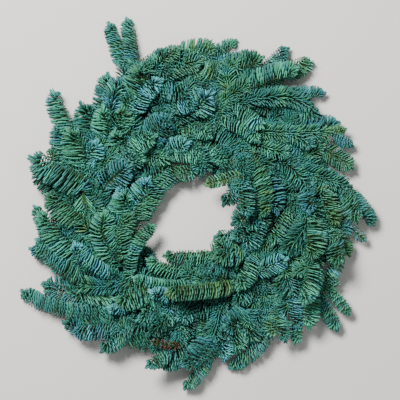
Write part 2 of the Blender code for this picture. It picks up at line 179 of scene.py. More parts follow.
# How needles stand on a shoot. pitch: from one rib of needles to the next. angle: from the twig to a
# rib, seen from above. hook: how far a needle curves forwards. lean: how far the crown, the side the
# needles curve to, leans from upright. flat: the shoot's thickness as a share of its width. slew: how
# far the tip turns to the crown. rib: each needle's place round the twig from the crown, its length as
# a share, and how far behind the twig it starts. tip: rings of needles, each with its spread, its
# number of needles and their length as a share.
Form = namedtuple("Form", "pitch angle hook lean flat slew rib tip")
SPRAY_TIP = ((72, 11, 0.78), (54, 10, 0.72), (36, 9, 0.64), (14, 8, 0.60))
FORMS = {
    "brush": Form(
        pitch=4.3, angle=75, hook=0.40, lean=84, flat=0.60, slew=10,
        rib=(
            (-74, 0.74, 1.20), (-60, 0.84, 0.85), (-46, 0.94, 0.50), (-30, 1.0, 0.20), (-14, 1.0, 0.0),
            (2, 1.0, 0.0), (18, 1.0, 0.0), (34, 1.0, 0.20), (50, 0.94, 0.55), (66, 0.80, 1.00),
        ),
        tip=((80, 11, 0.64), (62, 11, 0.62), (44, 10, 0.60), (26, 9, 0.57), (10, 7, 0.55)),
    ),
    "comb": Form(
        pitch=4.4, angle=66, hook=0.34, lean=34, flat=0.55, slew=8,
        rib=(
            (-134, 0.90, 0.0), (-118, 1.0, 0.0), (-102, 1.0, 0.0), (-86, 0.92, 0.06), (-66, 0.70, 0.15),
            (-44, 0.50, 0.1), (-6, 0.80, 0.50), (12, 0.92, 0.30), (30, 1.0, 0.12), (48, 1.0, 0.04),
            (66, 1.0, 0.0), (84, 0.92, 0.0),
        ),
        tip=SPRAY_TIP,
    ),
    "bone": Form(
        pitch=4.4, angle=60, hook=0.30, lean=8, flat=0.50, slew=0,
        rib=(
            (-104, 0.94, 0.0), (-90, 1.0, 0.0), (-76, 1.0, 0.0), (-60, 0.86, 0.06), (-38, 0.55, 0.0),
            (-10, 0.40, 0.0), (24, 0.42, 0.0), (44, 0.60, 0.0), (60, 0.86, 0.06), (76, 1.0, 0.0),
            (90, 1.0, 0.0), (104, 0.94, 0.0),
        ),
        tip=SPRAY_TIP,
    ),
    "fan": Form(
        pitch=4.4, angle=40, hook=-0.12, lean=40, flat=0.5, slew=8,
        rib=(
            (-128, 1.0, 0.0), (-108, 1.0, 0.0), (-86, 0.92, 0.06), (-6, 0.80, 0.40),
            (14, 0.92, 0.2), (34, 1.0, 0.06), (54, 1.0, 0.0), (74, 0.95, 0.0),
        ),
        tip=((46, 9, 1.0), (30, 7, 1.0), (12, 4, 0.92)),
    ),
    "star": Form(
        pitch=3.8, angle=72, hook=0.10, lean=0, flat=0.6, slew=0,
        rib=(
            (-104, 0.95, 0.0), (-84, 1.0, 0.0), (-62, 0.95, 0.06), (-38, 0.80, 0.0), (-12, 0.66, 0.0),
            (12, 0.66, 0.0), (38, 0.80, 0.0), (62, 0.95, 0.06), (84, 1.0, 0.0), (104, 0.95, 0.0),
        ),
        tip=((84, 12, 1.0), (66, 11, 0.98), (44, 9, 0.86), (20, 5, 0.66)),
    ),
    "sparse": Form(
        pitch=6.5, angle=55, hook=0.10, lean=0, flat=0.6, slew=0,
        rib=(
            (-96, 0.9, 0.0), (-60, 1.0, 0.0), (-14, 0.6, 0.0),
            (30, 0.8, 0.0), (76, 1.0, 0.0), (110, 0.9, 0.0),
        ),
        tip=((50, 7, 0.8), (24, 5, 0.8)),
    ),
    "stalk": Form(
        pitch=4.2, angle=50, hook=0.10, lean=0, flat=0.8, slew=0,
        rib=(
            (-100, 0.9, 0.1), (-72, 1.0, 0.1), (-46, 1.0, 0.1), (-28, 0.8, 0.0), (-12, 0.7, 0.0),
            (14, 0.7, 0.0), (30, 0.8, 0.0), (48, 1.0, 0.1), (74, 1.0, 0.1), (102, 0.9, 0.1),
        ),
        tip=(),
    ),
}

# needle tones, each in four tints: the colour of the blade and how much pale bloom, brightened as a painted
# highlight, it carries
TONES = {
    "teal": ((0.034, 0.168, 0.120), 0.55),
    "blue": ((0.025, 0.140, 0.145), 0.65),
    "ice": ((0.060, 0.265, 0.285), 0.95),
    "light": ((0.052, 0.240, 0.162), 0.65),
    "green": ((0.043, 0.162, 0.062), 0.35),
    "olive": ((0.052, 0.172, 0.056), 0.30),
    # deep: a darker green, partly the needles' own colour, partly painted shade for shoots under others;
    # shade: painted shade only
    "deep": ((0.016, 0.098, 0.072), 0.40),
    "rust": ((0.125, 0.024, 0.006), 0.0),
    "shade": ((0.010, 0.066, 0.048), 0.25),
}
# the tones of the ribs that don't have their shoot's own
COMPANIONS = {
    "teal": ("light", "green", "blue"),
    "blue": ("ice", "teal", "deep"),
    "ice": ("blue", "light"),
    "light": ("ice", "teal", "green"),
    "green": ("teal", "olive", "light", "teal"),
    "olive": ("green", "light", "green"),
    "deep": ("teal", "green", "blue"),
    "rust": ("rust", "deep"),
    "shade": ("deep", "shade"),
}
TINTS = 4
COOL_TONES = ("deep", "blue", "teal", "ice")  # their bare twigs have deep needles, and others' have green

# The map that every piece carries: u runs along a needle or a twig, and v is cut into a band for each
# tint of each tone, then one for twigs and one for buds. Across a needle's band lie its two upper
# faces, side by side from 0 to 0.8, and above them its underside.
MAP_NAME = "OFBake"
BANDS = len(TONES) * TINTS
NEEDLE_SHARE = 0.9  # of the map's height
RIDGE = 0.40
UPPER_HALF = 0.37
UNDERSIDE = 0.90
UNDERSIDE_HALF = 0.07

# Fourteen bunches, each of four sprigs from the outer slot to the inner one, and each sprig's shoots,
# the leader first: the clock angle and radius of its base and of its tip; how far it bows outwards; its
# width over the needles; its look, which is its tone, after its form if that isn't a brush; its hand,
# the side its crown leans to (1 right, -1 left, None either); and how far it is shifted to the right of
# its solid and lifted above it.
SHOOT_FIELDS = "base_clock base_radius tip_clock tip_radius bow width look hand shift lift"
Shoot = namedtuple("Shoot", SHOOT_FIELDS, defaults=(None, 0.0, 0.0))
BUNCHES = (
    (
        ((33, 238, 39, 288, 0, 31, "green", 1, 2), (27, 232, 30, 285, 0, 23, "teal", 1, 4)),
        ((24, 208, 37, 264, 4, 29, "light", -1), (14, 230, 25, 251, 2, 30, "green", -1)),
        (
            (30, 195, 49, 240, 6, 36, "comb deep", -1, 2), (13, 206, 25, 228, 2, 30, "deep"),
            (20, 162, 41, 160, 3, 24, "light", 1, 0, 8),
        ),
        (
            (19, 137, 45, 141, 3, 22, "light", 1, 0, 6), (12, 124, 42, 96, 4, 28, "deep"),
            (12, 96, 37, 79, 3, 24, "light", 1, 0, 4), (8, 100, 24, 62, 1, 30, "deep"),
            (24, 100, 34, 60, 0, 26, "deep"),
        ),
    ),
    (
        (
            (53, 202, 60, 257, 3, 27, "blue", -1), (41, 232, 49.4, 265, 2, 19, "blue", -1, -3),
            (47, 212, 54, 238, 2, 30, "deep"),
        ),
        (
            (60, 232, 63, 262, 0, 15, "olive"), (63, 238, 69, 262, 0, 18, "blue"),
            (50, 184, 63, 206, 2, 32, "comb teal", -1, 0, 4),
        ),
        (
            (46, 137, 61, 166, 2, 32, "comb light", -1, 0, 4), (50, 138, 66, 132, 0, 30, "deep"),
            (48, 111, 98, 104, 5, 28, "green"),
        ),
        (
            (66, 86, 100, 82, 4, 25, "teal"), (60, 92, 32, 41, 0, 21, "bone olive", -1, 0, 8),
            (48, 102, 44, 58, 1, 30, "deep"), (70, 90, 60, 66, 0, 26, "deep"),
            (68, 76, 84, 47, 0, 28, "deep"),
        ),
    ),
    (
        ((73, 203, 88, 250, 2, 26, "teal", -1, 2), (65, 214, 76, 252, 2, 34, "comb green", 1)),
        (
            (83, 236, 95.2, 281, 3, 23, "teal", -1, 2), (82, 206, 97, 222, 2, 28, "olive", -1, 0, 3),
            (84, 226, 95, 250, 2, 30, "green"),
        ),
        ((66, 160, 83, 183, 3, 34, "comb teal"), (76, 170, 93, 176, 2, 28, "blue", 1, 0, 3)),
        (
            (61, 119, 94, 128, 4, 34, "blue", -1, 0, 3), (86, 90, 113, 69, 2, 32, "deep", 1, 3),
            (70, 142, 86, 150, 0, 28, "deep"),
        ),
    ),
    (
        (
            (103, 228, 120.5, 236, 6, 25, "light", -1, 0, 12), (101, 236, 107, 251, 0, 20, "olive"),
            (97, 238, 101, 270, 0, 17, "sparse teal"),
        ),
        ((94, 190, 114, 199, 4, 36, "green", -1, 4), (103, 214, 112, 234, 2, 32, "green")),
        ((97, 178, 116, 152, 4, 42, "comb deep"), (93, 150, 115, 134, 2, 25, "light", -1, 0, 3)),
        ((97, 104, 130, 104, 4, 28, "blue"), (108, 86, 128, 76, 2, 26, "teal")),
    ),
    (
        (
            (122, 243, 125, 289, 0, 19, "light", 1, -3, 4), (127, 236, 131, 290, 0, 23, "teal", 1, -3, 4),
            (123, 214, 136, 256, 2, 27, "light", -1, 0, 10),
        ),
        ((113, 207, 131, 224, 2, 30, "light", -1, 2), (109, 190, 121, 206, 2, 28, "light", -1, 0, 5)),
        (
            (131, 203, 139, 246, 2, 25, "blue", -1), (140, 212, 145.5, 248, 2, 27, "teal", -1),
            (138, 238, 143, 261, 0, 20, "light"), (116, 186, 127, 172, 0, 32, "fan green"),
        ),
        (
            (133, 110, 158, 83, 2, 28, "green", -1, 0, 2), (125, 120, 151, 143, 2, 28, "light", -1, 0, 5),
            (120, 84, 139, 55, 0, 28, "teal", -1, -4), (137, 137, 119, 163, 0, 32, "bone ice", 1, 0, 6),
            (131, 98, 147, 63, 1, 28, "green"),
        ),
    ),
    (
        ((149, 224, 167, 252, 5, 22, "teal", -1, -3), (139, 196, 150, 228, 2, 26, "olive")),
        (
            (150, 178, 166, 191, 2, 40, "teal"), (156, 204, 164, 232, 1, 26, "light"),
            (149, 202, 158, 224, 2, 30, "deep"),
        ),
        ((151, 139, 197, 136, -8, 25, "olive", -1), (143, 158, 157, 160, 2, 28, "deep")),
        (
            (160, 81, 210, 86, -3, 25, "green"), (150, 104, 167, 98, 1, 24, "blue"),
            (168, 102, 190, 94, 0, 28, "deep"),
        ),
    ),
    (
        (
            (174, 230, 183, 277, 3, 23, "teal", -1, -3), (164, 206, 168.5, 240, 0, 26, "ice"),
            (170, 212, 181, 237, 0, 30, "deep"),
        ),
        ((172, 200, 184, 241, 3, 36, "blue", 1, 0, 2), (180, 230, 192, 248, 1, 26, "teal")),
        (
            (186, 168, 184, 206, 2, 50, "fan deep"), (181, 158, 188, 172, 0, 38, "star ice"),
            (167, 160, 181, 158, 2, 28, "deep"),
        ),
        (
            (188, 103, 221, 107, 3, 23, "light"), (176, 120, 220, 141, -6, 17, "light", 1, 0, 3),
            (192, 140, 207, 143, 0, 24, "ice", 1, 0, 7),
        ),
    ),
    (
        (
            (188, 226, 196, 251, 1, 24, "teal"), (186, 213, 197, 213, 0, 14, "sparse rust", 1, 0, 24),
            (189, 207, 203, 223, 2, 32, "teal"),
        ),
        (
            (206, 206, 212.3, 260, 2, 28, "teal"), (211, 216, 223.5, 265, 2, 25, "blue"),
            (196, 204, 215, 232, 3, 34, "deep"), (182, 201, 205, 192, 1, 46, "light", -1, 0, 9),
        ),
        ((192, 172, 199, 203, 1, 34, "comb shade"), (199, 179, 206, 192, 0, 24, "teal")),
        ((206, 142, 218, 190, 2, 34, "green"), (200, 156, 209, 171, 0, 28, "light")),
    ),
    (
        ((219, 206, 243.3, 296, 2, 26, "teal", 1, 2), (216, 214, 228, 266, 3, 28, "deep")),
        (
            (221, 172, 242, 260, 6, 46, "comb teal", 1, 3),
            (237, 224, 221, 186, -2, 38, "fan light", 1, 0, 7),
            (213, 188, 220.5, 201, 0, 18, "ice", 1, 0, 7), (214, 186, 220, 201, 0, 24, "light"),
        ),
        ((236, 206, 258, 243, 1, 26, "teal", 1, 5), (231, 162, 253, 188, 4, 24, "ice", 1, 0, 6)),
        (
            (222, 146, 246, 67, 8, 21, "light", 1, 2, 5), (231, 128, 263, 93, 6, 28, "green", 1),
            (211, 120, 230, 102, 2, 30, "deep"),
        ),
    ),
    (
        (
            (258, 224, 270, 243, 2, 22, "teal"), (251, 238, 255.5, 257, 0, 20, "deep"),
            (241, 220, 258, 244, 1, 24, "light", -1),
        ),
        ((245, 194, 268, 234, 5, 31, "light", -1, 0, 3), (250, 180, 262, 194, 2, 28, "deep")),
        ((261, 174, 275, 224, 4, 32, "green", -1),),
        ((239, 141, 266, 133, 8, 42, "comb light", 1, 0, 5), (250, 94, 281, 63, 5, 34, "green")),
    ),
    (
        ((274, 190, 283, 250, 3, 36, "shade", -1), (280, 208, 293, 233, 1, 28, "green")),
        ((280, 166, 287, 258, 8, 44, "teal", -1, 0, 3), (280, 172, 258, 160, -2, 46, "fan light", 1, 0, 8)),
        ((282, 141, 303, 114, 2, 48, "comb blue"), (277, 110, 283, 117, 0, 26, "ice")),
        (
            (273, 96, 303, 78, 3, 28, "ice"), (263, 118, 283, 103, 3, 34, "light"),
            (266, 76, 368, 62, 0, 30, "green", 1, 9),
        ),
    ),
    (
        ((301.5, 220, 310.5, 275, 2, 31, "light", -1, -7), (292, 210, 302, 239, 2, 32, "teal", -1, -5)),
        (
            (314, 200, 327, 243, 3, 25, "teal", -1, 1, 2), (289, 185, 302, 223, 3, 34, "green", -1),
            (302, 190, 313, 232, 2, 36, "deep", -1),
        ),
        (
            (306, 176, 318, 204, 2, 30, "light"), (293, 164, 305, 177, 1, 32, "ice"),
            (306, 150, 315, 166, 0, 26, "light"),
        ),
        (
            (312, 124, 332, 122, 2, 30, "light"), (302, 133, 316, 129, 0, 28, "blue"),
            (294, 106, 317, 93, 1, 30, "deep"), (298, 92, 332, 76, 1, 30, "deep"),
            (310, 108, 317, 114, 0, 26, "light"),
        ),
    ),
    (
        ((333, 236, 335.6, 311, 0, 23, "teal", -1, -1.5), (336.5, 234, 340.6, 307, 0, 23, "teal", -1)),
        (
            (330, 196, 341, 228, 3, 36, "green"), (317, 188, 331, 224, 3, 38, "comb blue", -1),
            (342, 226, 350, 243, 0, 19, "teal"),
        ),
        (
            (327, 165, 346, 198, 4, 30, "ice", 1), (318, 146, 325, 186, 0, 30, "green"),
            (316, 142, 331, 129, 0, 28, "light"),
        ),
        (
            (333, 84, 373, 75, 4, 22, "light", 1, 0, 3), (335, 98, 357, 97, 2, 28, "ice"),
            (331, 112, 346, 134, 2, 28, "blue"), (328, 138, 346, 141, 2, 30, "blue"),
            (363, 84, 376, 58, 0, 32, "deep"),
        ),
    ),
    (
        (
            (353, 240, 368, 247, 4, 28, "green", -1, 1), (363, 226, 374, 266, 1, 19, "light", -1, 2),
            (368, 223, 382, 250, 2, 20, "blue", -1, -1), (364, 214, 379, 236, 2, 30, "green", -1),
        ),
        (
            (345, 203, 363, 221, 5, 36, "comb green", 1, 0, 3),
            (341, 212, 355, 241, 2, 30, "comb green", 1, 0, 2), (334, 216, 347, 233, 2, 30, "deep", 1),
            (347, 212, 358, 231, 2, 30, "deep", 1), (362, 206, 380, 218, 4, 32, "green", -1),
        ),
        (
            (366, 202, 385, 204, 4, 34, "blue", -1), (341, 184, 358, 172, 2, 32, "deep"),
            (362, 150, 369, 176, 0, 54, "star ice", 1, 0, 10),
        ),
        (
            (342, 104, 368, 121, 8, 26, "green"), (345, 148, 362, 157, 2, 24, "blue"),
            (361, 118, 375, 110, 0, 24, "light", 1, 0, 8), (352, 98, 368, 92, 1, 22, "green"),
            (357, 96, 375, 50, 3, 26, "deep"),
        ),
    ),
)


# ---- camera, light and floor -----------------------------------------------------------------

CAMERA_AIM = (-0.8, 7.5)
CAMERA_HEIGHT = 2400.0
AIM_HEIGHT = 40.0
FRAME_WIDTH = 610.0
SENSOR_WIDTH = 36.0
FAR_CLIP = 20000.0
SKY_COLOUR = (0.96, 0.98, 1.0, 1.0)
SKY_STRENGTH = 0.25
LAMPS = (  # name, place, side, power in watts
    ("key", (-800.0, 1100.0, 2100.0), 750.0, 128.0),
    ("fill", (1500.0, -900.0, 1900.0), 1600.0, 8.0),
)
FLOOR_SIDE = 8000.0
FLOOR_COLOUR = (0.72, 0.70, 0.67)


def placed(name, data):
    """A new object, in the scene."""
    thing = bpy.data.objects.new(name, data)
    bpy.context.scene.collection.objects.link(thing)
    return thing


def set_camera():
    data = bpy.data.cameras.new("camera")
    data.sensor_width = SENSOR_WIDTH
    data.lens = SENSOR_WIDTH * (CAMERA_HEIGHT - AIM_HEIGHT) / FRAME_WIDTH
    data.clip_end = FAR_CLIP * MM
    camera = placed("camera", data)
    camera.location = (CAMERA_AIM[0] * MM, CAMERA_AIM[1] * MM, CAMERA_HEIGHT * MM)
    bpy.context.scene.camera = camera


def set_light():
    world = bpy.data.worlds.new("studio")
    world.use_nodes = True
    sky = world.node_tree.nodes["Background"]
    sky.inputs["Color"].default_value = SKY_COLOUR
    sky.inputs["Strength"].default_value = SKY_STRENGTH
    bpy.context.scene.world = world
    for name, place, side, power in LAMPS:
        data = bpy.data.lights.new(name, "AREA")
        data.size = side * MM
        data.energy = power
        lamp = placed(name, data)
        lamp.location = Vector(place) * MM
        lamp.rotation_euler = (-lamp.location).to_track_quat("-Z", "Y").to_euler()


def set_floor():
    bpy.ops.mesh.primitive_plane_add(size=FLOOR_SIDE * MM, location=(0.0, 0.0, 0.0))
    floor = bpy.context.object
    floor.name = "floor"
    floor.data.materials.append(Finish("studio_floor").shades(Base_Color=FLOOR_COLOUR, Roughness=0.75))


# ---- materials -------------------------------------------------------------------------------

HUE_SEED = 41.3
WARMEST_HUE, HUE_SPREAD = 0.445, 0.11
DARKEST_TINT, TINT_STEP = 0.50, 0.37
# the pale bloom: the needles' real stomatal bands, made brighter than they are as a painted highlight
BLOOM_HIGHLIGHT_COLOUR = (0.17, 0.47, 0.43)
# a lighter teal laid on towards each needle's tip: a painted highlight
TIP_HIGHLIGHT_COLOUR = (0.055, 0.340, 0.300)
# dark yellow-green at each needle's base: partly the needle's own yellower colour, partly painted shade
# inside the shoot
BASE_SHADE_COLOUR = (0.044, 0.096, 0.005)
# near-black for the blade's edges: painted shade in the gaps between the ribs
EDGE_SHADE_COLOUR = (0.004, 0.026, 0.016)


class Value:
    """A socket whose operators add the Math node they stand for."""

    def __init__(self, finish, socket):
        self.finish, self.socket = finish, socket

    def maths(self, operation, *others):
        return self.finish.node("ShaderNodeMath", {"operation": operation}, self, *others)

    def __add__(self, other):
        return self.maths("ADD", other)

    def __sub__(self, other):
        return self.maths("SUBTRACT", other)

    def __rsub__(self, other):
        return self.finish.node("ShaderNodeMath", {"operation": "SUBTRACT"}, other, self)

    def __mul__(self, other):
        return self.maths("MULTIPLY", other)

    __radd__, __rmul__ = __add__, __mul__

    def clamped(self, low, high, to_low=0.0, to_high=1.0):
        """Eases from to_low to to_high as the value goes from low to high."""
        settings = {"interpolation_type": "SMOOTHSTEP"}
        return self.finish.node("ShaderNodeMapRange", settings, self, low, high, to_low, to_high)


class Finish:
    """A material, and one method for any of its nodes."""

    def __init__(self, name):
        self.material = bpy.data.materials.new(name)
        self.material.use_nodes = True
        self.nodes = self.material.node_tree.nodes
        self.links = self.material.node_tree.links
        self.shader = self.nodes["Principled BSDF"]

    def node(self, kind, settings=None, *values, output=0, **named):
        """Adds a node, gives it its settings and then its sockets' values or links."""
        made = self.nodes.new(kind)
        for key, setting in (settings or {}).items():
            if key == "stops":
                self.set_stops(made.color_ramp, setting)
            else:
                setattr(made, key, setting)
        for key, value in [*enumerate(values), *named.items()]:
            self.give(made.inputs[key.replace("_", " ") if isinstance(key, str) else key], value)
        return Value(self, made.outputs[output])

    def set_stops(self, ramp, stops):
        ramp.interpolation = "CONSTANT"
        while len(ramp.elements) < len(stops):
            ramp.elements.new(1.0)
        for element, (place, colour) in zip(ramp.elements, stops):
            element.position = place
            element.color = (*colour, 1.0)

    def give(self, socket, value):
        if isinstance(value, Value):
            self.links.new(value.socket, socket)
        elif isinstance(value, tuple) and len(value) == 3 and socket.type == "RGBA":
            socket.default_value = (*value, 1.0)
        else:
            socket.default_value = value

    def mixed(self, factor, first, second, blend="MIX"):
        """Two colours mixed by a factor."""
        made = self.nodes.new("ShaderNodeMix")
        made.data_type, made.blend_type = "RGBA", blend
        for index, value in ((0, factor), (6, first), (7, second)):
            self.give(made.inputs[index], value)
        return Value(self, made.outputs[2])

    def by_tone(self, place, colours):
        """A colour for each tone's bands, from the place up the map."""
        stops = [(i / len(TONES), colour) for i, colour in enumerate(colours)]
        return self.node("ShaderNodeValToRGB", {"stops": stops}, place)

    def shades(self, **sockets):
        for key, value in sockets.items():
            self.give(self.shader.inputs[key.replace("_", " ")], value)
        return self.material


def piece_map(finish):
    return finish.node("ShaderNodeUVMap", {"uv_map": MAP_NAME})


def map_axes(finish, place):
    """How far along the needle or twig a place is, and how far up the map."""
    along = finish.node("ShaderNodeSeparateXYZ", None, place)
    return along, Value(finish, along.socket.node.outputs[1])


def needle_finish():
    """Waxy needles: a tone by band, yellower at the base and darker there as painted shade, lighter at the
    tip as a painted highlight, with pale bloom brightened into a painted highlight and edges darkened as
    painted shade.
    """
    finish = Finish("fir_needle")
    along, height = map_axes(finish, piece_map(finish))
    band = height * (BANDS / NEEDLE_SHARE)
    number = band.maths("FLOOR")
    across = band.maths("FRACT")
    place = height * (1.0 / NEEDLE_SHARE)
    tone = finish.by_tone(place, [colour for colour, _ in TONES.values()])
    bloom_of = finish.by_tone(place, [(bloom_and_highlight,) * 3 for _, bloom_and_highlight in TONES.values()])
    tint = number.maths("MODULO", TINTS)
    chance = finish.node("ShaderNodeTexWhiteNoise", {"noise_dimensions": "1D"}, W=number + HUE_SEED)
    tinted = finish.node(
        "ShaderNodeHueSaturation",
        None,
        Hue=WARMEST_HUE + chance * HUE_SPREAD,
        Saturation=1.05,
        Value=DARKEST_TINT + tint * TINT_STEP,
        Color=tone,
    )
    middle = (across - RIDGE).maths("ABSOLUTE")
    above = 1.0 - across.clamped(0.78, 0.80)
    # two pale lines of bloom on the upper faces, either side of the ridge, and a pale underside
    lines = middle.clamped(0.02, 0.08) * (1.0 - middle.clamped(0.20, 0.30)) * above
    pale = lines * 0.75 + across.clamped(0.82, 0.86) * 0.35
    # the bloom's strength: the real pale bands, laid on mostly over the needle's outer half, where they also
    # serve as a painted highlight
    bloom_and_highlight = pale * bloom_of * along.clamped(0.10, 0.50) * (1.0 - along.clamped(0.86, 0.98) * 0.5)
    # a brighter copy of the tint, mixed with the bloom colour into a painted highlight
    lit_tint = finish.mixed(1.0, tinted, (2.6, 2.6, 2.6), "MULTIPLY")
    bloom_highlighted = finish.mixed(bloom_and_highlight, tinted, finish.mixed(0.45, lit_tint, BLOOM_HIGHLIGHT_COLOUR))
    # lighter towards the tip: a painted highlight
    tip_lit = finish.mixed(along.clamped(0.55, 1.0, 0.0, 0.25), bloom_highlighted, TIP_HIGHLIGHT_COLOUR)
    # yellower and darker at the base: partly the needle's own colour, partly painted shade
    base_shaded = finish.mixed(along.clamped(0.02, 0.62, 0.85, 0.0), tip_lit, BASE_SHADE_COLOUR)
    # the blade's edges darkened: painted shade between the ribs
    edge_shaded = finish.mixed(middle.clamped(0.24, 0.37) * above * 0.8, base_shaded, EDGE_SHADE_COLOUR)
    streaks = finish.node("ShaderNodeCombineXYZ", None, along * 6.0, band * 3.0)
    flat = {"noise_dimensions": "2D"}
    grain = finish.node("ShaderNodeTexNoise", flat, Vector=streaks, Scale=3.0, Detail=2.0)
    relief = lines * 0.5 + grain * 0.4
    groove = finish.node("ShaderNodeBump", None, Strength=0.25, Distance=0.0004, Height=relief)
    return finish.shades(
        Base_Color=edge_shaded,
        Roughness=0.42 + bloom_and_highlight * 0.25 + grain * 0.08,
        Normal=groove,
        Specular_IOR_Level=0.38,
    )


def twig_finish():
    """Smooth young bark, brown and greener towards the tip, with leaf scars."""
    finish = Finish("fir_twig")
    place = piece_map(finish)
    along, _ = map_axes(finish, place)
    grain = finish.node("ShaderNodeTexNoise", None, Vector=place, Scale=40.0, Detail=4.0)
    scars = finish.node("ShaderNodeTexVoronoi", None, Vector=place, Scale=90.0)
    bark = finish.mixed(grain, (0.022, 0.020, 0.009), (0.050, 0.045, 0.020))
    young = finish.mixed(along.clamped(0.1, 0.7), bark, (0.020, 0.045, 0.014))
    marked = finish.mixed(scars.clamped(0.10, 0.25, 0.5, 0.0), young, (0.030, 0.020, 0.010))
    bump = finish.node("ShaderNodeBump", None, Strength=0.5, Distance=0.0006, Height=grain + scars)
    return finish.shades(Base_Color=marked, Roughness=0.6 + grain * 0.25, Normal=bump)


def bud_finish():
    """Resin-coated bud scales."""
    finish = Finish("fir_bud")
    grain = finish.node("ShaderNodeTexNoise", None, Vector=piece_map(finish), Scale=30.0, Detail=3.0)
    scale = finish.mixed(grain, (0.115, 0.075, 0.035), (0.230, 0.200, 0.100))
    bump = finish.node("ShaderNodeBump", None, Strength=0.4, Distance=0.0005, Height=grain)
    return finish.shades(Base_Color=scale, Roughness=0.35 + grain * 0.3, Normal=bump)


def wire_finish(name, coat, worn):
    """Coated wire: satin paint, thin and dull where it was bent or rubbed."""
    finish = Finish(name)
    place = finish.node("ShaderNodeTexCoord", None, output="Object")
    grain = finish.node("ShaderNodeTexNoise", None, Vector=place, Scale=260.0, Detail=4.0)
    rubbed = grain.clamped(0.62, 0.74)
    colour = finish.mixed(rubbed * 0.7, coat, worn)
    bump = finish.node("ShaderNodeBump", None, Strength=0.2, Distance=0.0003, Height=grain)
    return finish.shades(Base_Color=colour, Roughness=0.38 + grain * 0.3, Metallic=rubbed * 0.5, Normal=bump)


# ---- templates -------------------------------------------------------------------------------

BLADE_RADIUS = 0.58
BLADE_HALF = 0.503  # half the width of its underside
BLADE_JOINTS = (0.45, 0.91)
BLADE_WIDTHS = (0.62, 1.0, 0.90, 0.0)  # at the base, at the joints and at the point
MAP_END = 0.02  # the map stops this short of each end of a needle or twig
MAP_LENGTH = 0.96
SAME = 1e-6


class Template:
    """A small closed shape about the Z axis from 0 to 1: corners, faces and a map within its band."""

    def __init__(self, shape):
        shape.verts.ensure_lookup_table()
        shape.verts.index_update()
        self.corners = np.array([corner.co[:] for corner in shape.verts])
        rings = [[corner.index for corner in face.verts] for face in shape.faces]
        # cutting a shape leaves its faces in no fixed order, so they are put in one
        self.faces = sorted(ring[ring.index(min(ring)):] + ring[:ring.index(min(ring))] for ring in rings)
        self.loops = np.concatenate(self.faces)
        self.sizes = np.array([len(face) for face in self.faces])
        self.uv = np.concatenate([self.face_map(face) for face in self.faces])
        shape.free()

    def face_map(self, face):
        """Along the shape in u and round it in v, on each face's own side of the seam."""
        places = self.corners[face]
        turns = np.arctan2(places[:, 1], places[:, 0]) / (2 * np.pi) % 1.0
        on_axis = np.hypot(places[:, 0], places[:, 1]) < SAME
        middle = places.mean(axis=0)
        centre = math.atan2(middle[1], middle[0]) / (2 * math.pi) % 1.0
        turns = centre + (turns - centre + 0.5) % 1.0 - 0.5
        turns[on_axis] = centre
        along = places[:, 2].copy()
        if np.ptp(along) < SAME:  # an end: a small patch of its own
            turns = 0.5 + 0.3 * places[:, 0]
            along = np.clip(along, 0.03, 0.97) + 0.02 * places[:, 1]
        return np.column_stack((MAP_END + MAP_LENGTH * along, np.clip(0.04 + 0.92 * turns, 0.01, 0.99)))


def upright_prism(sides, radius, joints):
    """A prism from 0 to 1 on the Z axis, cut across at its joints."""
    shape = bmesh.new()
    bmesh.ops.create_cone(shape, cap_ends=True, segments=sides, radius1=radius, radius2=radius, depth=1.0)
    bmesh.ops.translate(shape, verts=shape.verts, vec=(0.0, 0.0, 0.5))
    for level in joints:
        geometry = shape.verts[:] + shape.edges[:] + shape.faces[:]
        bmesh.ops.bisect_plane(shape, geom=geometry, plane_co=(0, 0, level), plane_no=(0, 0, 1))
    return shape


def needle_template():
    """A blade with a ridge above and a flat underside, two joints and a blunt point."""
    shape = upright_prism(3, BLADE_RADIUS, BLADE_JOINTS)
    end = [corner for corner in shape.verts if corner.co.z > 0.99]
    bmesh.ops.pointmerge(shape, verts=end, merge_co=(0.0, 0.0, 1.0))
    blade = Template(shape)
    maps = []
    for face in blade.faces:
        places = blade.corners[face]
        if np.ptp(places[:, 2]) < SAME:  # the cut end at the twig: a small patch at the band's foot
            maps.append(np.column_stack((MAP_END + 0.02 * places[:, 0], RIDGE + 0.2 * places[:, 1])))
            continue
        wide = places[:, 0] / BLADE_HALF
        upper = places[:, 1].mean() > -0.2
        across = RIDGE + UPPER_HALF * wide if upper else UNDERSIDE + UNDERSIDE_HALF * wide
        maps.append(np.column_stack((MAP_END + MAP_LENGTH * places[:, 2], across)))
    blade.uv = np.concatenate(maps)
    return blade


def rod_template(joints):
    return Template(upright_prism(TWIG_SIDES, 1.0, [i / joints for i in range(1, joints)]))


def bud_template():
    shape = bmesh.new()
    bmesh.ops.create_uvsphere(shape, u_segments=7, v_segments=5, radius=0.5)
    bmesh.ops.translate(shape, verts=shape.verts, vec=(0.0, 0.0, 0.5))
    return Template(shape)


BLADE = needle_template()
BLADE_WIDTH_AT = np.interp(BLADE.corners[:, 2], (0.0, *BLADE_JOINTS, 1.0), BLADE_WIDTHS)
BUD = bud_template()
RODS = {}  # by their number of joints


# ---- a sprig's lines -------------------------------------------------------------------------

low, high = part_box("ring_outer_wire")
RING_CENTRE = np.array(((low[0] + high[0]) / 2, (low[1] + high[1]) / 2)) / MM


def polar(clock, radius):
    """A place in plan, from the ring's centre."""
    turn = math.radians(clock)
    return np.array((radius * math.sin(turn), radius * math.cos(turn)))


def clockwise(clock):
    turn = math.radians(clock)
    return np.array((math.cos(turn), -math.sin(turn)))


def direction(vector):
    return vector / max(float(np.linalg.norm(vector)), 1e-9)


def travelled(points):
    steps = np.linalg.norm(np.diff(np.array(points), axis=0), axis=1)
    return np.concatenate(([0.0], np.cumsum(steps)))


def between(stops, along, rows):
    """The rows that lie at the stops, where the given ones lie along."""
    return np.column_stack([np.interp(stops, along, column) for column in rows.T])


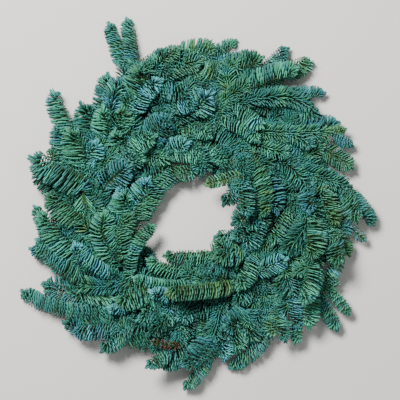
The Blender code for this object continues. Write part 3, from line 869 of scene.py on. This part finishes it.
def shoot_stations(shoot):
    """The stations of a shoot's body in plan, from its base to its tip."""

    def at(share):
        radius = shoot.base_radius + (shoot.tip_radius - shoot.base_radius) * share
        radius += shoot.bow * math.sin(math.pi * share)
        return polar(shoot.base_clock + (shoot.tip_clock - shoot.base_clock) * share, radius)

    fine = np.array([at(i / CURVE_STEPS) for i in range(CURVE_STEPS + 1)])
    along = travelled(fine)
    length = along[-1]
    swell = min(SHOOT_SWELL, SWELL_LIMIT * length)
    body = length - swell - SHOOT_END
    count = max(1, round(body / SHOOT_STEP))
    stops = [0.0, swell] + [swell + body * (i + 1) / count for i in range(count)] + [length]
    return list(between(stops, along, fine))


def stalk_stations(start, start_way, end, end_way):
    """The stations between two places of a bare twig that leaves and arrives along the given ways."""
    span = float(np.linalg.norm(end - start))
    hold = STALK_HOLD * span
    count = max(1, round(span / STALK_STEP))
    points = []
    for i in range(1, count):
        t = i / count
        points.append(
            (2 * t**3 - 3 * t**2 + 1) * start
            + (t**3 - 2 * t**2 + t) * hold * start_way
            + (3 * t**2 - 2 * t**3) * end
            + (t**3 - t**2) * hold * end_way
        )
    return points


def leader_stations(exit_clock, slot, shoot):
    """The stem on the ring, its free twig and its own shoot; and which stations start the last two."""
    radius = RING_RADIUS + slot
    stem = [polar(exit_clock - STEM_CLOCK_SPAN * (1 - i / 3), radius) for i in range(4)]
    near_exit = stem[-1] + STEM_RUN_ON * clockwise(exit_clock)
    points = shoot_stations(shoot)
    way = direction(points[1] - points[0])
    stalk = stalk_stations(near_exit, clockwise(exit_clock), points[0], way)
    return np.array(stem + [near_exit] + stalk + points), len(stem) - 1, len(stem) + 1 + len(stalk)


def side_stations(leader, exit_station, shoot):
    """A side shoot on a twig that forks forwards from the leader; and which station starts the shoot."""
    points = shoot_stations(shoot)
    base = points[0]
    free = travelled(leader[exit_station:])
    best = None
    for i in range(len(free) - 1):
        if free[i] < FORK_CLEAR_OF_EXIT or free[i + 1] > free[-1] - FORK_CLEAR_OF_TIP:
            continue
        start, end = leader[exit_station + i], leader[exit_station + i + 1]
        for share in FORK_SHARES:
            place = start + (end - start) * share
            gap = base - place
            turn = 1.0 - float(np.dot(direction(gap), direction(end - start)))
            cost = float(np.linalg.norm(gap)) * (1.0 + TURN_WEIGHT * turn) + TURN_COST * turn
            if best is None or cost < best[0]:
                best = (cost, place, direction(end - start))
    _, place, way = best
    gap = base - place
    if float(np.linalg.norm(gap)) < SHORTEST_STALK:
        return np.array([place] + points[1:]), 1
    leave = direction(direction(gap) + FORK_FORWARDS * way)
    stalk = stalk_stations(place, leave, base, direction(points[1] - points[0]))
    return np.array([place] + stalk + points), 1 + len(stalk)


class Solid:
    """A sprig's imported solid, to find how high its twigs lie."""

    def __init__(self, node):
        mesh = bpy.data.objects[node].data
        corners = [corner.co[:] for corner in mesh.vertices]
        self.tree = BVHTree.FromPolygons(corners, [face.vertices[:] for face in mesh.polygons])

    def layers(self, place):
        """(middle, half thickness) of each layer over a place in plan."""
        start = Vector((*(place * MM), RAY_START))
        found = []
        while True:
            hit, _, _, _ = self.tree.ray_cast(start, Vector((0, 0, 1)))
            if hit is None:
                break
            found.append(hit.z / MM)
            start = hit + Vector((0, 0, RAY_STEP))
        pairs = zip(found[::2], found[1::2])
        return [((a + b) / 2, (b - a) / 2) for a, b in pairs if b - a > THINNEST_LAYER]

    def heights(self, plan, start):
        """The height of the twig along a line in plan, followed from the height it starts at."""
        known, last = [], start
        for i, place in enumerate(plan):
            layers = [layer for layer in self.layers(place) if layer[1] < LARGEST_HALF]
            if layers:
                nearest = min(layers, key=lambda layer: abs(layer[0] - last))
                if abs(nearest[0] - last) < LARGEST_JUMP:
                    last = nearest[0]
                    known.append((i, last))
        if not known:
            return np.full(len(plan), start)
        where, what = zip(*known)
        found = np.interp(np.arange(len(plan)), where, what)
        tail = len(plan) - 1 - where[-1]
        if tail > 0 and len(known) > SLOPE_STATIONS:
            run = max(where[-1] - where[-SLOPE_STATIONS], 1)
            slope = (what[-1] - what[-SLOPE_STATIONS]) / run
            found[where[-1]:] = what[-1] + slope * np.arange(tail + 1)
        return found


def resampled(points, step):
    along = travelled(points)
    count = max(2, math.ceil(along[-1] / step) + 1)
    wanted = np.linspace(0.0, along[-1], count)
    return between(wanted, along, points)


def smoothed(points, reach=3):
    """A moving average that keeps the ends where they are."""
    ahead = 2 * points[-1] - points[-2 : -reach - 2 : -1]
    behind = 2 * points[0] - points[reach:0:-1]
    padded = np.vstack((behind, points, ahead))
    kernel = np.ones(2 * reach + 1) / (2 * reach + 1)
    return np.column_stack([np.convolve(column, kernel, "valid") for column in padded.T])


def smooth_step(share):
    share = np.clip(share, 0.0, 1.0)
    return share * share * (3.0 - 2.0 * share)


def body_share(left, width):
    """How far the body's middle is off the twig: the two nearly meet again at the shoot's tip."""
    return 1.0 - TIP_RETURN * smooth_step(1.0 - left / (TIP_RETURN_WIDTHS * width))


class Line:
    """A twig's centre line, with its upright frame at any distance along it."""

    def __init__(self, points):
        self.points = resampled(points, LINE_STEP)
        self.along = travelled(self.points)
        self.length = self.along[-1]
        ways = np.gradient(self.points, self.along, axis=0)
        self.ways = ways / np.linalg.norm(ways, axis=1, keepdims=True)

    def at(self, stops):
        """The place, the way and the upward and rightward directions at each stop."""
        place = between(stops, self.along, self.points)
        way = between(stops, self.along, self.ways)
        way /= np.linalg.norm(way, axis=1, keepdims=True)
        up = np.array((0.0, 0.0, 1.0)) - way * way[:, 2:3]
        up /= np.maximum(np.linalg.norm(up, axis=1, keepdims=True), 1e-6)
        return place, way, up, np.cross(way, up)

    def moved(self, start, shoot, beside, above):
        """The line moved past start: by shift and lift, and by beside and above except near its tip."""
        share = smooth_step((self.along - (start - MOVE_LEAD)) / MOVE_REACH)[:, None]
        body = body_share(self.length - self.along, shoot.width)[:, None]
        _, _, up, right = self.at(self.along)
        moves = (shoot.shift + body * beside) * right + (shoot.lift + body * above) * up
        points = self.points + share * moves
        points[:, 2] = np.clip(points[:, 2], LOWEST_TWIG, CEILING - SHOOT_HEIGHT * shoot.width)
        return Line(points)


# ---- growing ---------------------------------------------------------------------------------

NEEDLE_SLOT, TWIG_SLOT, BUD_SLOT = 0, 1, 2


class Piece:
    """Collects the copies of templates that make one sprig."""

    def __init__(self):
        self.corners, self.loops, self.sizes, self.uv, self.slots = [], [], [], [], []
        self.count = 0

    def add(self, template, places, uv, slot):
        """places: copies x corners x 3. uv: copies x loops x 2."""
        copies = len(places)
        offsets = self.count + np.arange(copies) * len(template.corners)
        self.corners.append(places.reshape(-1, 3))
        self.loops.append((template.loops[None, :] + offsets[:, None]).ravel())
        self.sizes.append(np.tile(template.sizes, copies))
        self.uv.append(uv.reshape(-1, 2))
        self.slots.append(np.full(copies * len(template.sizes), slot))
        self.count += copies * len(template.corners)

    def build(self, name, finishes):
        corners, loops = np.concatenate(self.corners), np.concatenate(self.loops)
        sizes, uv = np.concatenate(self.sizes), np.concatenate(self.uv)
        corners[:, 2] = np.maximum(corners[:, 2], FLOOR_GAP)
        mesh = bpy.data.meshes.new(name)
        mesh.vertices.add(len(corners))
        mesh.vertices.foreach_set("co", (corners * MM).astype(np.float32).ravel())
        mesh.loops.add(len(loops))
        mesh.loops.foreach_set("vertex_index", loops.astype(np.int32))
        mesh.polygons.add(len(sizes))
        mesh.polygons.foreach_set("loop_start", (np.cumsum(sizes) - sizes).astype(np.int32))
        mesh.polygons.foreach_set("material_index", np.concatenate(self.slots).astype(np.int32))
        mesh.polygons.foreach_set("use_smooth", np.ones(len(sizes), dtype=bool))
        for finish in finishes:
            mesh.materials.append(finish)
        mesh.update(calc_edges=True)
        layer = mesh.uv_layers.new(name=MAP_NAME)
        layer.data.foreach_set("uv", uv.astype(np.float32).ravel())
        return placed(name, mesh)


def unit(vectors):
    return vectors / np.maximum(np.linalg.norm(vectors, axis=-1, keepdims=True), 1e-9)


def add_needles(piece, base, leave, bend, length, tones, tints, rng):
    """Curved blades, face up: each leaves its base along leave and turns by bend over its length."""
    count = len(base)
    share = BLADE.corners[:, 2]
    spine = base[:, None, :] + length * (
        share[None, :, None] * leave[:, None, :] + (share**2)[None, :, None] * bend[:, None, :]
    )
    flow = unit(leave[:, None, :] + 2 * share[None, :, None] * bend[:, None, :])
    across = unit(np.cross(np.array(FACE_UP), flow))
    face = np.cross(flow, across)
    wide = NEEDLE_WIDTH * rng.uniform(*WIDTH_SPREAD, count)
    reach = BLADE_WIDTH_AT[None, :, None] * wide[:, None, None]
    sideways, upwards = BLADE.corners[None, :, 0:1], BLADE.corners[None, :, 1:2]
    places = spine + reach * (sideways * across + BLADE_THICKNESS * upwards * face)
    band = tones * TINTS + tints
    uv = np.empty((count, len(BLADE.uv), 2))
    uv[:, :, 0] = BLADE.uv[None, :, 0]
    uv[:, :, 1] = (band[:, None] + BLADE.uv[None, :, 1]) * (NEEDLE_SHARE / BANDS)
    piece.add(BLADE, places, uv, NEEDLE_SLOT)


def rib_needles(form, roll, swing=0.0):
    """A rib's needles, each as its first way and its bend: how far forwards, to the right and up."""
    turns, shares, behinds = np.array(form.rib, dtype=float).T
    turns = np.radians(turns + roll)
    beside, above = np.sin(turns), form.flat * np.cos(turns)
    angle = np.radians(form.angle + swing)
    forwards = np.maximum(np.abs(beside), CROWN_FORWARDS - CROWN_FORWARDS * np.abs(beside))
    ends = np.stack((np.cos(angle) * forwards, np.sin(angle) * beside, np.sin(angle) * above), axis=-1)
    ends *= (shares / np.linalg.norm(ends * (1.0, 1.0, 1.0 / form.flat), axis=-1))[:, None]
    rolled = math.radians(roll)
    back = behinds[:, None] * np.array((0.0, -math.sin(rolled), -BACK_DROP * math.cos(rolled)))
    hook = -form.hook * np.abs(beside)[:, None] * np.array((1.0, 0.0, 0.0))
    return ends + back + hook, -back - hook


def needle_length(form, width, roll):
    """The length that makes the shoot as wide as asked, and how far its middle is off its twig."""
    leave, bend = rib_needles(form, roll)
    places = np.concatenate([share * leave + share**2 * bend for share in MEASURED_AT])
    low, high = places.min(axis=0), places.max(axis=0)
    length = float(np.clip(width / (high[1] - low[1]), *NEEDLE_LENGTHS))
    return length, length * (low[1] + high[1]) / 2, length * (low[2] + high[2]) / 2


def trimmed(stops, reach, middle, width, start, end):
    """The share of each needle that stays inside the shoot's outline: tapering, with a round tip."""
    shares = np.linspace(1.0, SHORTEST_SHARE, TRIM_STEPS)[:, None]
    ahead = stops + shares * reach[:, 0]
    beside = np.abs(shares * reach[:, 1] - middle * body_share(end - stops, width))
    taper = 1.0 - TIP_TAPER * np.clip((ahead - start) / max(end - start, 1.0), 0.0, 1.0) ** 2
    rounding = np.clip(1.0 - (end - ahead) / (TIP_ROUNDING * width), 0.0, 1.0)
    outwards = beside / (0.5 * width * taper)
    inside = (outwards**ROUNDNESS + rounding**ROUNDNESS <= 1.0) & (ahead < end)
    inside |= shares * np.abs(reach[:, 1]) < UNTRIMMED * width
    return np.where(inside.any(axis=0), shares[np.argmax(inside, axis=0), 0], SHORTEST_SHARE)


def grow_ribs(start, end, twig_end, width, form, tone, roll, rng):
    """Each rib's needles: where they stand, their first ways, their bends, their tones and their tints."""
    names = list(TONES)
    ribs = np.arange(start, twig_end, form.pitch)
    for stop in ribs + rng.normal(0.0, RIB_SCATTER, len(ribs)):
        near_tip, crown = 0.0, roll
        if form.tip:
            near_tip = max(0.0, (stop - twig_end + TIP_SWING_REACH) / TIP_SWING_REACH)
            crown = roll * body_share(end - stop, width)
        crown += rng.normal(0.0, ROLL_SCATTER)
        going, turning = rib_needles(form, crown, rng.normal(0.0, ANGLE_SCATTER) - TIP_SWING * near_tip)
        count = len(going)
        share = min(1.0, BASE_SHARE + (stop - start) / RISE_LENGTH) * rng.uniform(*RIB_SHARES)
        share = share * rng.uniform(*RIB_SHARES, (count, 1))
        lower = (going + turning)[:, 2] < LOWER_NEEDLES
        stops = stop + 0.5 * form.pitch * lower + rng.normal(0.0, PLACE_SCATTER, count)
        leave = going * share + rng.normal(0.0, WAY_SCATTER, (count, 3))
        other = COMPANIONS[tone][rng.integers(len(COMPANIONS[tone]))]
        tones = np.full(count, names.index(tone if rng.random() < OWN_TONE_SHARE else other))
        yield stops, leave, turning * share, tones, np.full(count, rng.integers(0, TINTS))


def grow_tip(twig_end, form, tone, roll, rng):
    """The rings of needles round a shoot's tip, given as grow_ribs gives the ribs."""
    slew, rolled = math.radians(form.slew), math.radians(roll)
    for ring, (spread, number, share) in enumerate(form.tip):
        steps = 360.0 * (np.arange(number) + 0.5 * ring) / number
        around = np.radians(steps + rng.normal(0.0, AROUND_SCATTER, number))
        spreads = np.radians(spread + rng.normal(0.0, SPREAD_SCATTER, number))
        ahead = np.cos(spreads)
        crownwards, flankwards = np.sin(spreads) * np.cos(around), np.sin(spreads) * np.sin(around)
        ahead, crownwards = (
            math.cos(slew) * ahead - math.sin(slew) * crownwards,
            math.sin(slew) * ahead + math.cos(slew) * crownwards,
        )
        beside = math.sin(rolled) * crownwards + math.cos(rolled) * flankwards
        above = math.cos(rolled) * crownwards - math.sin(rolled) * flankwards
        going = np.column_stack((ahead, beside, above * max(form.flat, LEAST_FLAT)))
        going *= share * rng.uniform(*RING_SHARES, (number, 1))
        inward = RING_INWARD * np.column_stack((np.zeros(number), beside, above))
        stops = twig_end - TIP_SETBACK + ring * RING_STEP
        stops = stops + rng.uniform(-RING_SCATTER, RING_SCATTER, number)
        tones = np.full(number, list(TONES).index(tone))
        yield stops, going + inward, -inward, tones, rng.integers(0, TINTS, number)


def grow_needles(piece, line, start, end, width, form, tone, roll, rng):
    """Ribs of needles along a twig from start to end, and rings of them round its tip."""
    length, middle, _ = needle_length(form, width, roll)
    twig_end = max(end - TIP_REACH * length, start + SHORTEST_TWIG) if form.tip else end
    grown = list(grow_ribs(start, end, twig_end, width, form, tone, roll, rng))
    grown += grow_tip(twig_end, form, tone, roll, rng)
    stops, leave, bend, tones, tints = (np.concatenate(column) for column in zip(*grown))
    if form.tip:
        cut = trimmed(stops, length * (leave + bend), middle, width, start, end)[:, None]
        leave, bend = leave * cut, bend * cut
    place, way, up, right = line.at(stops)
    axes = np.stack((way, right, up), axis=1)
    leave, bend = np.einsum("ij,ijk->ik", leave, axes), np.einsum("ij,ijk->ik", bend, axes)
    base = place + BASE_AHEAD * unit(leave) + BASE_ABOVE * up
    add_needles(piece, base, leave, bend, length, tones, tints, rng)
    return twig_end


def add_twig(piece, line, end, radius, end_radius):
    """A round twig along a line, from its start."""
    joints = max(2, round(end / TWIG_JOINT_STEP))
    if joints not in RODS:
        RODS[joints] = rod_template(joints)
    rod = RODS[joints]
    share = rod.corners[:, 2]
    place, _, up, right = line.at(end * share)
    wide = (radius + (end_radius - radius) * share)[:, None]
    places = place + wide * (rod.corners[:, 0:1] * right + rod.corners[:, 1:2] * up)
    uv = rod.uv.copy()
    uv[:, 1] = NEEDLE_SHARE + uv[:, 1] * (1 - NEEDLE_SHARE) / 2
    piece.add(rod, places[None], uv[None], TWIG_SLOT)


def add_buds(piece, line, end):
    """A bud at the tip, with a smaller one on each side."""
    place, way, up, right = (found[0] for found in line.at(np.array([end])))
    uv = BUD.uv.copy()
    uv[:, 1] = (1 + NEEDLE_SHARE) / 2 + uv[:, 1] * (1 - NEEDLE_SHARE) / 2
    for lean, share in BUDS:
        aim = direction(way + lean * right + BUD_RISE * up)
        side = direction(np.cross(aim, up))
        face = np.cross(side, aim)
        length, wide = BUD_SIZE * share, BUD_THICKNESS * BUD_SIZE * share
        ahead = aim * (BUD.corners[:, 2:3] * length - BUD_DEPTH)
        round_it = wide * (BUD.corners[:, 0:1] * side + BUD.corners[:, 1:2] * face)
        piece.add(BUD, (place + ahead + round_it)[None], uv[None], BUD_SLOT)


def add_side_growth(piece, line, start, end, rng):
    """Short side shoots, left and right in turn, that fill the wreath's body under the leaders."""
    hand = rng.choice((-1.0, 1.0))
    for stop in np.arange(start + SIDE_START, end, SIDE_STEP):
        hand = -hand
        stop += rng.uniform(-SIDE_SCATTER, SIDE_SCATTER)
        place, way, _, right = (found[0] for found in line.at(np.array([stop])))
        turn = math.radians(hand * rng.uniform(*SIDE_TURNS))
        aim = math.cos(turn) * way + math.sin(turn) * right
        aim[2] = rng.uniform(*SIDE_DROPS)
        reach = rng.uniform(*SIDE_LENGTHS)
        share = np.linspace(0.0, 1.0, SIDE_STATIONS)[:, None]
        points = place + reach * (share * direction(aim) + SIDE_CURVE * share**2 * way)
        points[:, 2] = np.maximum(points[:, 2] - SIDE_SINK, SIDE_LOWEST)
        radius = np.linalg.norm(points[-1, :2] - RING_CENTRE)
        if not BODY_RADII[0] < radius < BODY_RADII[1]:
            continue
        side = Line(points)
        roll = hand * rng.uniform(*SIDE_ROLLS)
        tone = SIDE_SHADE_TONES[rng.integers(len(SIDE_SHADE_TONES))]
        width = rng.uniform(*SIDE_WIDTHS)
        twig_end = grow_needles(piece, side, SIDE_BARE, side.length, width, FORMS["brush"], tone, roll, rng)
        add_twig(piece, side, twig_end, *SIDE_RADII)


def raised(solid, stations, height):
    """A twig's stations in plan as closer points at their heights on the solid."""
    plan = resampled(stations, LINE_STEP) + RING_CENTRE
    return np.column_stack((plan, solid.heights(plan, height)))


def grow_shoot(piece, solid, shoot, stations, bare, first, height, rng):
    """A twig with its needles, side shoots and buds, along its stations in plan.

    bare is the station up to which it is stripped, past 0 on a leader because its stem comes first.
    first is the station where its shoot starts, and height is that of its first station.
    """
    is_leader = bare > 0
    line = Line(smoothed(raised(solid, stations, height)))
    plan_along = travelled(stations)
    scale = line.length / plan_along[-1]
    start = plan_along[first] * scale
    free = plan_along[bare] * scale + (BARE_STEM if is_leader else BARE_FORK)
    form_name, _, tone = shoot.look.rpartition(" ")
    form = FORMS[form_name or "brush"]
    hand = shoot.hand or rng.choice((-1.0, 1.0))
    roll = hand * (form.lean + rng.uniform(-LEAN_SPREAD, LEAN_SPREAD))
    _, beside, above = needle_length(form, shoot.width, roll)
    line = line.moved(start, shoot, -beside, -BODY_SINK * above)
    twig_end = grow_needles(piece, line, start, line.length, shoot.width, form, tone, roll, rng)
    add_side_growth(piece, line, free, start + SIDE_END * (line.length - start), rng)
    if start - free > SHORTEST_BARE:
        shade = "deep" if tone in COOL_TONES else "green"
        roll = rng.uniform(-BARE_ROLL, BARE_ROLL)
        grow_needles(piece, line, free, start, BARE_WIDTH, FORMS["stalk"], shade, roll, rng)
    add_twig(piece, line, twig_end, STEM_RADIUS if is_leader else TWIG_RADIUS, TWIG_TIP_RADIUS)
    add_buds(piece, line, twig_end)
    return line


def build_sprig(bunch, number, shoots, finishes):
    """A sprig's piece, grown along its solid, which it stands in for."""
    node = f"bunch_{bunch + 1:02d}_sprig_{number + 1}"
    rng = np.random.default_rng(100 * bunch + 10 * number + 7)
    solid, piece = Solid(node), Piece()
    leader, bare, first = leader_stations(bunch * BUNCH_STEP, STEM_SLOTS[number], shoots[0])
    height = min(solid.layers(leader[1] + RING_CENTRE))[0]
    leader_line = grow_shoot(piece, solid, shoots[0], leader, bare, first, height, rng)
    for shoot in shoots[1:]:
        stations, first = side_stations(leader, bare, shoot)
        gaps = np.linalg.norm(leader_line.points[:, :2] - (stations[0] + RING_CENTRE), axis=1)
        height = leader_line.points[int(np.argmin(gaps)), 2]
        grow_shoot(piece, solid, shoot, stations, 0, first, height, rng)
    sprig = piece.build(f"fir_sprig_{bunch + 1:02d}_{number + 1}", finishes)
    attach(sprig, "root")
    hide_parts(node)


# ---- the wreath ------------------------------------------------------------------------------


def main():
    set_camera()
    set_light()
    set_floor()
    finishes = [needle_finish(), twig_finish(), bud_finish()]
    for bunch, sprigs in enumerate(BUNCHES):
        for number, rows in enumerate(sprigs):
            build_sprig(bunch, number, [Shoot(*row) for row in rows], finishes)
    coated = wire_finish("green_coated_steel", (0.020, 0.085, 0.040), (0.20, 0.20, 0.19))
    lacquered = wire_finish("green_lacquered_iron", (0.030, 0.060, 0.025), (0.16, 0.15, 0.13))
    for node, finish in (
        ("ring_outer_wire", coated),
        ("ring_inner_wire", coated),
        ("ring_zigzag_wire", coated),
        ("binding_wire", lacquered),
    ):
        for slot in bpy.data.objects[node].material_slots:
            slot.material = finish


main()
